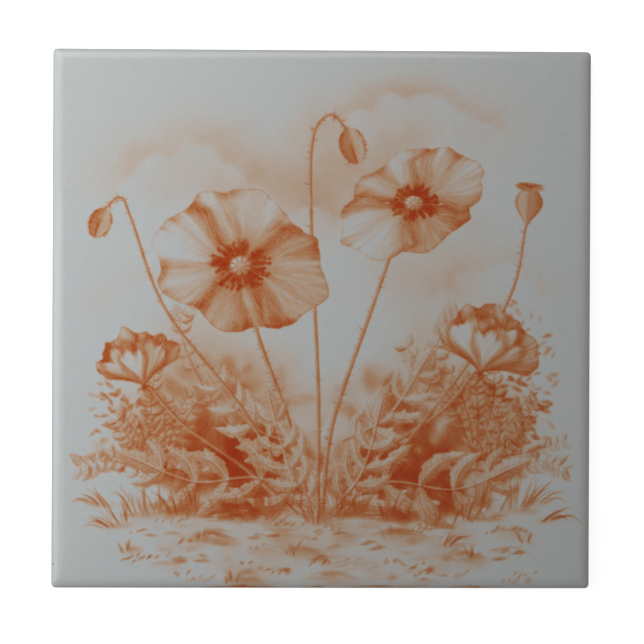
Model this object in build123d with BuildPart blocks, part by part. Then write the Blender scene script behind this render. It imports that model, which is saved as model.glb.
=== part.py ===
"""A square decorative wall tile, dust-pressed, glazed and fired as one piece.

The tile lies on its back with the glazed face up. The origin is the middle of the back,
+Z comes out of the glazed face, and +Y points to the top of the painted picture.
Sizes are in millimetres.
"""

import os
from math import atan2, cos, degrees, radians, sin

from build123d import *

# Outline of the tile
side = 152.4
thickness = 6.5
corner_radius = 1.2

# Cushion edge, where the glazed face rolls down to the sides along a quarter ellipse
cushion_width = 3.6
cushion_depth = 1.3
cushion_steps = 12

# Upright land round the sides, which faces the neighbouring tiles across the joint
land_height = 2.4

# Below the land the sides lean in towards the back, so that the grout has a hold
back_inset = 0.7
back_edge_radius = 0.3

# Grid of shallow cells pressed into the back, which the adhesive keys into
key_cell = 20.0
key_rib = 3.0
key_depth = 0.9
key_draft = 25
key_corner_radius = 2.0
key_least_border = 6.0

# Worked out from the sizes above
land_top = thickness - cushion_depth
land_foot = land_top - land_height
back_lean = degrees(atan2(back_inset, land_foot))
back_side = side - 2 * back_inset
key_pitch = key_cell + key_rib
key_field = back_side - 2 * key_least_border
key_count = 2 * int((key_field + key_rib) // (2 * key_pitch))

with BuildPart() as tile:
    # The lower body, which draws in from the foot of the land down to the back
    with BuildSketch(Plane.XY.offset(land_foot)):
        RectangleRounded(side, side, corner_radius)
    extrude(amount=land_foot, dir=(0, 0, -1), taper=back_lean)
    back_rim = tile.faces().sort_by(Axis.Z)[0].edges()
    fillet(back_rim, radius=back_edge_radius)

    # The upright land
    with BuildSketch(Plane.XY.offset(land_foot)):
        RectangleRounded(side, side, corner_radius)
    extrude(amount=land_height)

    # The cushion, drawn through level sections that shrink along the ellipse. The corner
    # radius stays the same, so the rolls of two edges meet in a softened mitre
    for step in range(cushion_steps + 1):
        turn = radians(90 * step / cushion_steps)
        inset = cushion_width * (1 - cos(turn))
        rise = cushion_depth * sin(turn)
        with BuildSketch(Plane.XY.offset(land_top + rise)):
            RectangleRounded(side - 2 * inset, side - 2 * inset, corner_radius)
    loft()

    # The key cells. Their count is even, so two ribs cross at the origin
    with BuildSketch(Plane.XY):
        with GridLocations(key_pitch, key_pitch, key_count, key_count):
            RectangleRounded(key_cell, key_cell, key_corner_radius)
    extrude(amount=key_depth, taper=key_draft, mode=Mode.SUBTRACT)

tile.part.label = "tile"

os.makedirs("parts", exist_ok=True)
export_step(tile.part, "parts/tile.step")
print("tile", tile.part.bounding_box().size, "volume", round(tile.part.volume), "cells", key_count**2)
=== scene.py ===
"""A glazed and hand-painted wall tile on its CAD frame, laid out as a Blender add-on.

The tile lies on its back. Its mesh is in metres, in the frame's own axes. The picture is worked out
in millimetres, as depths of iron-red pigment on an even grid over the face, and the glaze's material
turns each depth into a colour.
"""

from math import atan2, cos, exp, hypot, pi, radians, sin, tan

import bpy
import numpy as np
from bpy.props import FloatProperty, FloatVectorProperty, IntProperty, PointerProperty
from bpy.types import NodeSocket, Operator, Panel, PropertyGroup
from mathutils import Matrix, Vector
from mathutils.geometry import delaunay_2d_cdt


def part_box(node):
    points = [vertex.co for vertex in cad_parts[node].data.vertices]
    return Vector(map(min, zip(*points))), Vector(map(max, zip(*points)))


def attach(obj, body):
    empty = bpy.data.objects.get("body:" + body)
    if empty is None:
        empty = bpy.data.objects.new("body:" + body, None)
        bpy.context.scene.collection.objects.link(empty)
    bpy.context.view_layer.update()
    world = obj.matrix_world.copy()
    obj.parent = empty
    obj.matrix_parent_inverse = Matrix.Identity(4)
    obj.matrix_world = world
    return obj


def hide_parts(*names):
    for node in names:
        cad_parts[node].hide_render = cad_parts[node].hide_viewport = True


bl_info = {
    "name": "Painted wall tile",
    "version": (1, 0, 0),
    "blender": (4, 5, 0),
    "location": "View3D > Sidebar > Tile",
    "description": "Builds a glazed, hand-painted wall tile and the studio that shows it",
    "category": "Add Mesh",
}

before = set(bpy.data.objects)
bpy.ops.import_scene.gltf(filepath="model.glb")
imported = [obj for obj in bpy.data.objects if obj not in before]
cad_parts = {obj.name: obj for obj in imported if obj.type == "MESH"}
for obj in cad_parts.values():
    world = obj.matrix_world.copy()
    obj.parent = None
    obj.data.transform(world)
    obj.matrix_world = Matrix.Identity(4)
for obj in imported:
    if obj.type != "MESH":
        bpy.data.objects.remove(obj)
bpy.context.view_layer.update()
TILE_LOW, TILE_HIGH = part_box("tile")
MM = 0.001


# Settings that a user would change

def length_property(name, description, default):
    """A length, shown in the scene's unit."""
    return FloatProperty(name=name, description=description, default=default, min=0.0, precision=5,
                         subtype="DISTANCE", unit="LENGTH")


def angle_property(name, description, degrees):
    """An angle, given here in degrees."""
    return FloatProperty(name=name, description=description, default=radians(degrees), subtype="ANGLE",
                         unit="ROTATION")


def colour_property(name, description, default):
    """A colour, as shares of red, green and blue."""
    return FloatVectorProperty(name=name, description=description, default=default, size=3, min=0.0, max=1.0,
                               subtype="COLOR")


def share_property(name, description, default):
    """A share from 0 to 1."""
    return FloatProperty(name=name, description=description, default=default, min=0, max=1, subtype="FACTOR")


class TileSizes(PropertyGroup):
    """The tile's own sizes, which are those of its CAD solid."""

    side: length_property("Side", "Across the upright lands", TILE_HIGH[0] - TILE_LOW[0])
    thickness: length_property(
        "Thickness", "From the ribs on the back to the glazed face", TILE_HIGH[2] - TILE_LOW[2])
    corner_radius: length_property("Corner radius", "Radius of the four corners seen from the front", 0.0012)
    cushion_width: length_property("Cushion width", "How far in from the side the face rolls down", 0.0036)
    cushion_depth: length_property("Cushion depth", "How far it drops before the side is upright", 0.0013)
    land_height: length_property("Land height", "Height of the upright band round the sides", 0.0024)
    back_inset: length_property("Back inset", "How far the sides lean in below the land", 0.0007)
    back_edge_radius: length_property("Back edge radius", "Radius of the worn edge round the back", 0.0003)
    key_cell: length_property("Key cell", "Width of a cell pressed into the back", 0.020)
    key_rib: length_property("Key rib", "Width of the rib between two cells", 0.003)
    key_depth: length_property("Key depth", "Depth of the cells", 0.0009)
    key_corner_radius: length_property("Key corner radius", "Radius of a cell's corners at the ribs", 0.002)
    key_draft: angle_property("Key draft", "Slope of the cells' walls", 25)
    key_count: IntProperty(name="Key cells", description="Cells along each side", default=6, min=1)
    waviness: length_property("Glaze waviness", "Height of the slow waves that the glaze froze in", 0.00003)


class GlazeLook(PropertyGroup):
    """Colours and finish of the glaze, of the pigment in it and of the bare clay."""

    glaze: colour_property("Glaze", "Milky white glaze with no paint in it", (0.618, 0.631, 0.624))
    absorption: FloatVectorProperty(
        name="Absorption", description="How strongly one layer of iron-red takes up red, green and blue",
        default=(0.12, 1.0, 1.88), size=3, min=0.0, max=4.0)
    biscuit: colour_property("Biscuit", "Fired clay where no glaze covers it", (0.70, 0.64, 0.54))
    roughness: share_property("Glaze roughness", "Roughness of the clear glaze", 0.10)
    biscuit_roughness: share_property("Biscuit roughness", "Roughness of the bare clay", 0.85)
    hairs: share_property("Brush hairs", "How clearly the brush's hairs show in its strokes", 0.45)
    grain: share_property("Pigment grain", "How unevenly the pigment settled in the glaze", 0.30)
    glaze_foot: length_property("Glaze foot", "Height above the back at which the glaze ends", 0.0036)


class StudioLook(PropertyGroup):
    """The floor, the light and the camera."""

    floor: colour_property("Floor", "Plain pale floor", (0.80, 0.80, 0.80))
    floor_glow: FloatProperty(name="Floor glow", description="Light that the pale table gives by itself",
                              default=0.80, min=0.0)
    floor_side: length_property("Floor side", "Length of each side of the floor", 8.0)
    panel_light: FloatProperty(name="Panel light", description="Scales the light of all soft panels together",
                               default=1.0, min=0.0)
    surround: FloatProperty(name="Surrounding light", description="Even light from the dim room",
                            default=0.20, min=0.0)
    camera_distance: length_property("Camera distance", "From the lens to the tile", 0.620)
    half_view: angle_property("Half view", "Half the angle that the square picture takes in", 8.375)
    camera_yaw: angle_property("Camera yaw", "Turn of the camera about the tile's upright axis", -1.332)
    camera_pitch: angle_property("Camera pitch", "Turn of the camera about the tile's level axis", -0.136)
    camera_roll: angle_property("Camera roll", "Turn of the camera about its own axis", 0.242)
    aim: FloatVectorProperty(
        name="Aim", description="The place on the tile at which the camera points",
        default=(0.00008, -0.00081, 0.0052), size=3, subtype="TRANSLATION", unit="LENGTH")


# Patterns and lines

def even_step(value, low, high):
    """0 below low, 1 above high, and a smooth rise between."""
    share = np.clip((value - low) / (high - low), 0, 1)
    return share * share * (3 - 2 * share)


def hashed(i, j, seed):
    """A repeatable number from 0 to 1 for each pair of whole numbers.

    The large odd factors only scatter neighbouring pairs, and the masks keep 32 and 24 bits.
    """
    n = i.astype(np.int64) * 374761393 + j.astype(np.int64) * 668265263 + seed * 974634777
    n = n & 0xFFFFFFFF
    n = ((n ^ (n >> 13)) * 1274126177) & 0xFFFFFFFF
    return ((n ^ (n >> 16)) & 0xFFFFFF) / 0xFFFFFF


def noise(u, v, seed):
    """Smooth noise from -1 to 1, with about one bump to each unit of u and v."""
    i, j = np.floor(u), np.floor(v)
    right, up = even_step(u - i, 0, 1), even_step(v - j, 0, 1)
    lower = hashed(i, j, seed) * (1 - right) + hashed(i + 1, j, seed) * right
    upper = hashed(i, j + 1, seed) * (1 - right) + hashed(i + 1, j + 1, seed) * right
    return 2 * (lower * (1 - up) + upper * up) - 1


def mottle(u, v, seed, octaves=4):
    """Noise with finer and finer bumps, from about -1 to 1. Each layer is turned, so that no grid shows."""
    total = np.zeros_like(u)
    for octave in range(octaves):
        zoom = 2 ** octave
        for layer in range(2):
            turn = 0.5 + 0.9 * octave + 1.8 * layer
            across = (u * cos(turn) - v * sin(turn)) * zoom + 17 * octave
            up = (u * sin(turn) + v * cos(turn)) * zoom - 9 * octave
            total += noise(across, up, seed + octave + 40 * layer) / zoom
    return total / 2.3


def smooth_line(points, count):
    """Places along a smooth line through a few given points."""
    given = np.array(points, float)
    before = 2 * given[0] - given[1]
    after = 2 * given[-1] - given[-2]
    knots = np.vstack([before, given, after])
    spans = len(given) - 1
    places = []
    for share in np.linspace(0, spans, count):
        k = min(int(share), spans - 1)
        f = share - k
        a, b, c, d = knots[k:k + 4]
        bend = 2 * a - 5 * b + 4 * c - d
        twist = 3 * b - a - 3 * c + d
        places.append(0.5 * (2 * b + (c - a) * f + bend * f ** 2 + twist * f ** 3))
    return np.array(places)


def turned(dx, dy, turn):
    """Offsets, measured again along a direction and to its left."""
    return dx * cos(turn) + dy * sin(turn), dy * cos(turn) - dx * sin(turn)


def away(place, angle, length):
    """The place that lies a length away at an angle."""
    return place[0] + length * cos(angle), place[1] + length * sin(angle)


def heading(line, k):
    """The angle in which a line runs at its k-th place."""
    before, after = line[max(k - 1, 0)], line[min(k + 1, len(line) - 1)]
    return atan2(after[1] - before[1], after[0] - before[0])


# The brush

def ruffled_rim(side, radius, seed):
    """How far out a petal's rim lies, from its middle at 0 to its sides at -1 and 1."""
    level = np.zeros_like(side)
    ruffle = 1 + 0.045 * np.sin(9 * side + seed)
    ruffle = ruffle + 0.060 * noise(2.3 * side + 5, level, seed)
    ruffle = ruffle + 0.030 * noise(8 * side, level + 3, seed + 2)
    return radius * ruffle * (1 - 0.20 * np.abs(side) ** 3)


def petal_folds(side, q, seed):
    """A petal's folds, the finer creases between them and the hairs between those."""
    warp = 0.5 * noise(2 * side, 2.5 * q, seed + 11)
    fold = noise(4.2 * side + warp, 1.1 * q, seed + 21)
    crease = noise(17 * side + 2 * warp, 2.2 * q, seed + 31)
    hair = noise(41 * side + 2 * warp, 3.0 * q, seed + 41)
    return fold, crease, hair


class Painting:
    """Pigment on an even grid over the tile's face, in millimetres.

    Tone is the depth of pigment. Along and across are the brush's own directions at each place,
    and streak says how much its hairs show there.
    """

    def __init__(self, x, y):
        self.x = x
        self.y = y
        self.tone = np.zeros_like(x)
        self.along = x.copy()
        self.across = y.copy()
        self.streak = np.zeros_like(x)
        self.low = np.array([x[0, 0], y[0, 0]])
        self.pitch = np.array([x[0, 1] - x[0, 0], y[1, 0] - y[0, 0]])

    def near(self, low, high):
        """The part of the grid inside a box."""
        first = np.floor((np.array(low) - self.low) / self.pitch)
        last = np.ceil((np.array(high) - self.low) / self.pitch) + 1
        first = np.clip(first, 0, None).astype(int)
        last = np.clip(last, 0, None).astype(int)
        return slice(first[1], last[1]), slice(first[0], last[0])

    def around(self, place, reach):
        """The part of the grid within reach of a place, with its offsets from there."""
        at = self.near((place[0] - reach, place[1] - reach), (place[0] + reach, place[1] + reach))
        return at, self.x[at] - place[0], self.y[at] - place[1]

    def follow(self, line, reach):
        """The grid within reach of a line: share of the line, distance along it, offset to its left."""
        at = self.near(line.min(0) - reach, line.max(0) + reach)
        px, py = self.x[at], self.y[at]
        nearest = np.full(px.shape, 1e9)
        share = np.zeros_like(px)
        offset = np.zeros_like(px)
        runs = np.diff(line, axis=0)
        lengths = np.hypot(runs[:, 0], runs[:, 1])
        total = lengths.sum()
        start = 0.0
        for place, run, length in zip(line, runs, lengths):
            dx, dy = px - place[0], py - place[1]
            f = np.clip((dx * run[0] + dy * run[1]) / length ** 2, 0, 1)
            gap = np.hypot(dx - f * run[0], dy - f * run[1])
            closer = gap < nearest
            left = run[0] * dy > run[1] * dx
            nearest = np.where(closer, gap, nearest)
            share = np.where(closer, (start + f * length) / total, share)
            offset = np.where(closer, np.where(left, gap, -gap), offset)
            start += length
        share = np.minimum(share, 1)
        return at, share, share * total, offset

    def lay(self, at, cover, tone, lift=0.0, along=None, across=None, streak=0.0):
        """Adds pigment where cover is above 0. Lift is the share of older pigment that it takes up.

        Where a stroke covers a place well enough, its own directions show there from then on.
        """
        self.tone[at] = np.maximum(self.tone[at] * (1 - lift * cover) + tone * cover, 0)
        if along is not None:
            well_covered = cover > 0.45
            self.along[at] = np.where(well_covered, along, self.along[at])
            self.across[at] = np.where(well_covered, across, self.across[at])
            self.streak[at] = np.where(well_covered, streak, self.streak[at])

    def stroke(self, points, width, tone, soft=0.35, lift=0.0, seed=0, count=16, fade=(0, 0), dry=0.0):
        """One pull of the brush. Half width and tone are given at its start, middle and end.

        Fade is the share of its run over which each end thins out, and dry breaks it up, from 0 to 1.
        """
        line = smooth_line(points, count)
        at, share, along, offset = self.follow(line, max(width) + 2 * soft + 0.6)
        knots = (0.0, 0.5, 1.0)
        half = np.interp(share, knots, width)
        cover = even_step(half - np.abs(offset), -soft, soft)
        if fade[0]:
            cover = cover * even_step(share, 0, fade[0])
        if fade[1]:
            cover = cover * even_step(1 - share, 0, fade[1])
        if dry:
            broken = noise(along / 3.2 + seed, offset / 0.6, seed + 3)
            cover = cover * even_step(broken, -1.2 + 1.4 * dry, -0.2 + 1.4 * dry)
        self.lay(at, cover, np.interp(share, knots, tone), lift, along + 13 * seed, offset, 0.6)

    def dab(self, centre, length, width, turn, tone, soft=0.35, lift=0.0, seed=0):
        """A short touch of the brush, heavier where it was put down."""
        at, dx, dy = self.around(centre, length + width + 2 * soft)
        u, v = turned(dx, dy, turn)
        size = np.hypot(u / length, v / width)
        cover = even_step((1 - size) * min(length, width), -soft, soft)
        self.lay(at, cover, tone * (1 + 0.3 * u / length), lift, u + 5 * seed, v, 0.4)

    def wash(self, centre, size, tone, seed, edge=0.7, grain=12.0, turn=0.0):
        """A wide wet patch with a wandering, soft edge, pooled unevenly as it dried."""
        u, v = turned(self.x - centre[0], self.y - centre[1], turn)
        wander = mottle(self.x / grain, self.y / grain, seed)
        far = np.hypot(u / size[0], v / size[1]) + 0.34 * wander
        cover = even_step(1 - far, -0.4 * edge, edge)
        pool = mottle(self.x / (0.55 * grain), self.y / (0.55 * grain), seed + 7)
        self.tone += tone * cover * (0.78 + 0.50 * pool)

    def blade(self, points, width, tone, lift=0.92, teeth=0, shade=0.3, seed=0, count=14):
        """A leaf or a lobe: pale on the half that faces the light, with a midrib and side veins.

        Light falls from the upper left, and shade is how dark a shadow the leaf throws beside itself.
        """
        line = smooth_line(points, count)
        at, share, along, offset = self.follow(line, 1.6 * width + 1.0)
        half = width * np.sin(pi * share ** 0.8) ** 0.85
        half = half * (1 + 0.06 * noise(5 * share, np.full_like(share, seed), seed))
        if teeth:
            half = half * (1.08 - 0.26 * ((share * teeth) % 1))
        run = atan2(line[-1][1] - line[0][1], line[-1][0] - line[0][0])
        lit = 0.6 * sin(run) + 0.8 * cos(run)
        side = offset / np.maximum(half, 0.05)
        far = np.abs(side)
        cover = even_step(half - np.abs(offset), -0.25, 0.25)
        shaded = 0.5 - 0.5 * lit * np.clip(2.2 * side, -1, 1)
        depth = 0.26 + 0.80 * shaded + 0.42 * even_step(far, 0.72, 1.0) * (0.35 + shaded)
        depth = depth * (1.22 - 0.50 * share) + 0.16 * noise(along / 2.6, offset / 1.1, seed + 1)
        if width > 1.1:
            pitch = 0.9 + 0.35 * width
            vein = even_step(np.cos(2 * pi * (along - 0.9 * np.abs(offset)) / pitch), 0.45, 1.0)
            depth = depth + 0.30 * vein * even_step(1 - far, 0.05, 0.4) * even_step(far, 0.05, 0.3)
        rib = np.exp(-(offset / 0.20) ** 2) * even_step(1 - share, 0.05, 0.4)
        under = np.exp(-((side * np.sign(lit) + 0.16) / 0.11) ** 2) * even_step(1 - share, 0.05, 0.5)
        depth = depth * (1 - 0.75 * rib) + 0.35 * under
        outside = np.maximum(np.abs(offset) - half, 0)
        shadow = np.exp(-(outside / (0.30 * width + 0.25)) ** 2) * even_step(-side * lit, 0.2, 1.0)
        self.tone[at] += shade * tone * shadow * (1 - cover) * even_step(np.sin(pi * share), 0.1, 0.5)
        self.lay(at, cover, tone * np.maximum(depth, 0.08), lift, along + 7 * seed, offset, 0.5)

    def petal(self, foot, radius, middle, spread, turn, squash, body, heart, behind, seed):
        """A fan-shaped petal with a ruffled rim, and folds that run out from its foot.

        Middle and spread say which way the fan points and how wide it opens. Turn and squash lay
        it back, as a flower that is seen at a slant. Behind keeps what the flower covers so far,
        so that a near petal throws its shadow only on the petals behind it.
        """
        at, dx, dy = self.around(foot, 1.25 * radius)
        u, v = turned(dx, dy, turn)
        v = v / squash
        r = np.hypot(u, v)
        angle = (np.arctan2(v, u) - middle + pi) % (2 * pi) - pi
        q = r / radius
        half = spread * (0.60 + 0.40 * even_step(q, 0, 0.8))
        side = angle / half
        rim = ruffled_rim(side, radius, seed)
        inner = np.minimum(rim - r, (1 - np.abs(side)) * half * r * 0.9)
        cover = even_step(inner, -0.35, 0.35)

        # Deep at its heart, in its folds, along its rim and towards its sides
        fold, crease, hair = petal_folds(side, q, seed)
        depth = body + heart * np.exp(-(q / 0.32) ** 2)
        depth = depth + 0.62 * even_step(fold, -0.1, 0.9) * (0.35 + 0.65 * q)
        depth = depth - 0.16 * even_step(-fold, 0.1, 0.8)
        depth = depth + (0.13 * crease + 0.08 * hair) * (0.5 + q)
        depth = depth + 0.32 * even_step(np.abs(side), 0.5, 1.0)
        lip = np.exp(-((rim - r - 0.045 * radius) / (0.05 * radius)) ** 2)
        outline = np.exp(-((inner - 0.25) / 0.30) ** 2)
        depth = depth + 0.50 * lip * even_step(fold + 0.3 * crease, -0.5, 0.6) + 0.36 * outline
        # Light falls from the upper left
        depth = depth + 0.30 * (0.55 * dx - 0.65 * dy) / radius
        outside = np.maximum(-inner, 0)
        shadow = np.exp(-(outside / 1.7) ** 2) * behind[at] * (1 - cover)
        self.tone[at] += 0.75 * shadow
        behind[at] = np.maximum(behind[at], cover)
        self.lay(at, cover, np.maximum(depth, 0.03), 1.0, q * radius, 6 * side + seed, 0.7)


# Flowers and plants

def open_poppy(paint, centre, radius, turn, squash, seed):
    """A wide open poppy: four broad petals, a dark ring, stamens and a rayed pod."""
    draw = np.random.default_rng(seed)
    behind = np.zeros_like(paint.tone)
    turn = radians(turn)
    # Deep shade under the petals, which shows where they part at their feet
    at, dx, dy = paint.around(centre, 0.4 * radius)
    foot_far = np.hypot(dx, dy / squash) / radius
    paint.lay(at, even_step(0.36 - foot_far, 0.0, 0.08), 1.3, 1.0)
    # Way the petal points, its spread, length and tone
    petals = ((100, 62, 1.00, 0.42), (-80, 60, 0.92, 0.52), (190, 58, 1.02, 0.26), (8, 60, 0.98, 0.34))
    for k, (middle, spread, share, body) in enumerate(petals):
        middle = radians(middle + draw.uniform(-8, 8))
        paint.petal(centre, radius * share, middle, radians(spread), turn, squash, body, 0.85, behind,
                    seed + 50 * k)
    # The blotch at the foot of the petals
    paint.lay(at, 0.8 * even_step(1 - foot_far / 0.30, 0.0, 0.45), 0.75, 0.7)
    stamens(paint, draw, centre, radius, squash)
    rayed_pod(paint, centre, 0.13 * radius, squash)


def stamens(paint, draw, centre, radius, squash):
    """Short dark marks that spread from a poppy's middle, and its stamens over them."""

    def out(angle, far):
        """The place so far out from the flower's middle, laid back as its petals are."""
        return centre[0] + far * cos(angle), centre[1] + far * sin(angle) * squash

    for k in range(34):
        angle = draw.uniform(0, 2 * pi)
        foot = out(angle, radius * draw.uniform(0.13, 0.29))
        aim = atan2(foot[1] - centre[1], foot[0] - centre[0])
        paint.dab(foot, 0.085 * radius, 0.024 * radius, aim, draw.uniform(0.4, 0.9), soft=0.3, seed=k)
    # Each stamen is a thread with its anther
    for k in range(95):
        angle = draw.uniform(0, 2 * pi)
        far = radius * draw.uniform(0.17, 0.34)
        thread = (out(angle, 0.45 * far), out(angle, far))
        paint.stroke(thread, (0.16, 0.14, 0.12), (0.7, 0.6, 0.5), soft=0.2, count=3)
        aim = angle + draw.uniform(-1, 1)
        paint.dab(out(angle, far), 0.55, 0.36, aim, draw.uniform(1.0, 1.7), soft=0.22, seed=k)


def rayed_pod(paint, centre, size, squash):
    """The round pod in a poppy's middle, with dark rays and a dark rim."""
    at, dx, dy = paint.around(centre, 2 * size)
    dy = dy / (0.35 + 0.65 * squash)
    r = np.hypot(dx, dy) / size
    rays = even_step(np.cos(9 * np.arctan2(dy, dx)), 0.2, 0.9) * even_step(r, 0.15, 0.4)
    depth = 0.50 + 0.65 * rays + 0.60 * even_step(r, 0.7, 1.0) + 0.40 * (dx - dy) / size
    paint.lay(at, even_step(1 - r, -0.15, 0.15), np.maximum(depth, 0.15), 1.0)


def cup_poppy(paint, foot, radius, lean, open_by, seed):
    """A poppy from the side: three far petals behind three near ones, on a small cup."""
    draw = np.random.default_rng(seed)
    behind = np.zeros_like(paint.tone)
    up = radians(90 + lean)
    # Way the petal points from straight up, its spread, length, tone and the depth at its foot
    petals = (
        (38, 38, 0.92, 0.60, 0.6), (-38, 38, 0.95, 0.72, 0.6), (4, 40, 1.04, 0.75, 1.0),
        (26, 34, 0.84, 0.30, 0.45), (-27, 33, 0.80, 0.42, 0.45), (2, 30, 0.66, 0.20, 0.40),
    )
    for k, (middle, spread, share, body, heart) in enumerate(petals):
        aim = up + radians(middle * open_by + draw.uniform(-4, 4))
        wide = radians(spread * open_by)
        paint.petal(foot, radius * share, aim, wide, 0.0, 1.0, body, heart, behind, seed + 50 * k)
    # The cup's five short points
    for k in range(5):
        tip = away(foot, up + pi + radians(-60 + 30 * k), 0.10 * radius)
        paint.stroke((foot, tip), (0.5, 0.4, 0.2), (1.1, 1.2, 0.9), soft=0.3, lift=0.4, count=3)


def hairs(paint, roots, seed):
    """Short bristles. Each root is a place and the way in which the bristle points."""
    draw = np.random.default_rng(seed)
    for place, aim in roots:
        tip = away(place, aim, draw.uniform(0.8, 1.6))
        paint.stroke((place, tip), (0.13, 0.10, 0.06), (0.7, 0.5, 0.3), soft=0.2, count=3)


def bud(paint, top, length, aim, seed):
    """A nodding bud, split along one side so that the petals show, with bristles."""
    draw = np.random.default_rng(seed)
    aim = radians(aim)
    line = smooth_line((top, away(top, aim, 0.5 * length), away(top, aim, length)), 12)
    at, share, along, offset = paint.follow(line, length)
    half = 0.36 * length * np.sqrt(np.clip(1 - (2 * share - 1) ** 2, 0, 1)) * (1.08 - 0.16 * share)
    side = offset / np.maximum(half, 0.05)
    depth = 0.45 + 0.90 * even_step(-side, -0.5, 0.9) + 0.30 * even_step(side, 0.6, 1.0)
    seam = np.exp(-((side + 0.15 * np.sin(pi * share)) / 0.13) ** 2)
    depth = depth + 1.0 * seam * even_step(share, 0.25, 0.6) + 0.15 * noise(along / 0.5, offset / 0.4, seed)
    paint.lay(at, even_step(half - np.abs(offset), -0.3, 0.3), depth, 1.0, along, offset, 0.5)
    roots = []
    for _ in range(26):
        share = draw.uniform(0.1, 0.95)
        side = draw.choice((-1, 1))
        half = 0.29 * length * np.sqrt(1 - (2 * share - 1) ** 2)
        place = away(away(top, aim, length * share), aim + side * pi / 2, half)
        roots.append((place, aim + side * radians(60)))
    hairs(paint, roots, seed + 1)


def seed_pod(paint, foot, length, aim, seed):
    """A ripe pod: a ribbed urn under a flat, rayed crown."""
    aim = radians(aim)
    line = smooth_line((foot, away(foot, aim, 0.5 * length), away(foot, aim, length)), 12)
    at, share, along, offset = paint.follow(line, length)
    half = length * (0.10 + 0.32 * np.sin(pi * share ** 1.25) ** 0.8)
    side = offset / np.maximum(half, 0.05)
    cover = even_step(half - np.abs(offset), -0.3, 0.3) * even_step(1 - share, 0.0, 0.05)
    depth = 0.45 + 0.80 * even_step(-side, -0.4, 0.9) + 0.25 * even_step(np.cos(7 * side), 0.2, 0.9)
    depth = depth + 0.25 * even_step(side, 0.7, 1.0)
    paint.lay(at, cover, depth, 1.0, along, offset, 0.4)
    crown = away(foot, aim, 1.02 * length)
    paint.dab(crown, 0.42 * length, 0.13 * length, aim + pi / 2, 1.1, soft=0.3, lift=1.0, seed=seed)
    for k in range(-3, 4):
        tip = away(away(crown, aim + pi / 2, 0.12 * length * k), aim, 0.10 * length)
        paint.stroke((crown, tip), (0.18, 0.16, 0.10), (1.0, 0.9, 0.8), soft=0.2, count=3)


def stem(paint, points, width, seed):
    """A round bristly stalk, dark down its right side."""
    draw = np.random.default_rng(seed)
    line = smooth_line(points, 30)
    at, share, along, offset = paint.follow(line, 2 * width + 1)
    half = width * (1.15 - 0.4 * share)
    depth = 0.50 + 0.95 * even_step(-offset / half, -0.6, 0.9) + 0.15 * noise(along / 2.5, offset / 0.5, seed)
    paint.lay(at, even_step(half - np.abs(offset), -0.28, 0.28), depth, 0.9, along, offset, 0.5)
    roots = []
    for _ in range(54):
        i = draw.integers(0, len(line) - 1)
        place = line[i] + (line[i + 1] - line[i]) * draw.uniform()
        side = draw.choice((-1, 1))
        aim = heading(line, i)
        roots.append((away(place, aim + side * pi / 2, 0.8 * width), aim + side * radians(70)))
    hairs(paint, roots, seed + 1)


def lobed_leaf(paint, points, reach, tone, pairs, seed):
    """A deeply cut leaf: pairs of toothed lobes along a midrib, the longest two fifths of the way out."""
    draw = np.random.default_rng(seed)
    rib = smooth_line(points, 10 * pairs)
    for k in range(pairs, 0, -1):
        share = (k - 0.3) / (pairs + 0.5)
        foot = rib[int(share * (len(rib) - 1))]
        aim = heading(rib, int(share * (len(rib) - 1)))
        length = reach * sin(pi * (0.22 + 0.66 * share)) * draw.uniform(0.88, 1.10)
        for side in (-1, 1):
            first = aim + side * radians(draw.uniform(52, 64))
            last = aim + side * radians(draw.uniform(20, 36))
            middle = away(foot, first, 0.50 * length)
            tip = away(middle, last, 0.56 * length)
            shade = tone * draw.uniform(0.85, 1.15)
            own_seed = seed + 3 * k + side
            for out, turn in ((0.50, 48), (0.66, -42)):
                root = away(foot, first, out * 0.8 * length)
                tooth = away(root, last + radians(turn), 0.30 * length)
                paint.blade((root, tooth), 0.085 * length, shade, shade=0.15, seed=own_seed, count=5)
            paint.blade((foot, middle, tip), 0.18 * length, shade, teeth=4, seed=own_seed)
    end = away(rib[-1], heading(rib, len(rib) - 2), 0.30 * reach)
    paint.blade((rib[-9], rib[-3], end), 0.20 * reach, tone, teeth=5, seed=seed + 90)
    paint.stroke(points, (0.42, 0.34, 0.16), (0.25, 0.2, 0.2), soft=0.2, lift=0.8, count=24)
    below = [(x + 0.35, y - 0.45) for x, y in points]
    paint.stroke(below, (0.26, 0.2, 0.1), (1.1 * tone, 0.9 * tone, 0.6 * tone), soft=0.25, count=24)


def tuft(paint, foot, count, height, tone, seed, lean=0.0):
    """Blades of grass that arch out of one root, over a touch of shade. Lean bends them all to one side."""
    draw = np.random.default_rng(seed)
    paint.dab(foot, 0.34 * height, 0.07 * height, draw.uniform(-0.1, 0.1), 0.45 * tone, soft=1.1, seed=seed)
    for k in range(count):
        own = draw.uniform(-0.85, 0.85)
        length = height * draw.uniform(0.45, 1.05)
        root = (foot[0] + 0.28 * height * own + draw.uniform(-0.8, 0.8), foot[1] + draw.uniform(-0.9, 0.5))
        middle = away(root, pi / 2 - lean - 0.40 * own, 0.55 * length)
        tip = away(middle, pi / 2 - 1.35 * lean - draw.uniform(0.6, 1.4) * own, 0.50 * length)
        depth = tone * draw.uniform(0.5, 1.25)
        paint.stroke((root, middle, tip), (0.20, 0.28, 0.05), (0.9 * depth, 0.9 * depth, 0.5 * depth),
                     soft=0.22, lift=0.25, seed=seed + k, fade=(0.22, 0.2))


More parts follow.
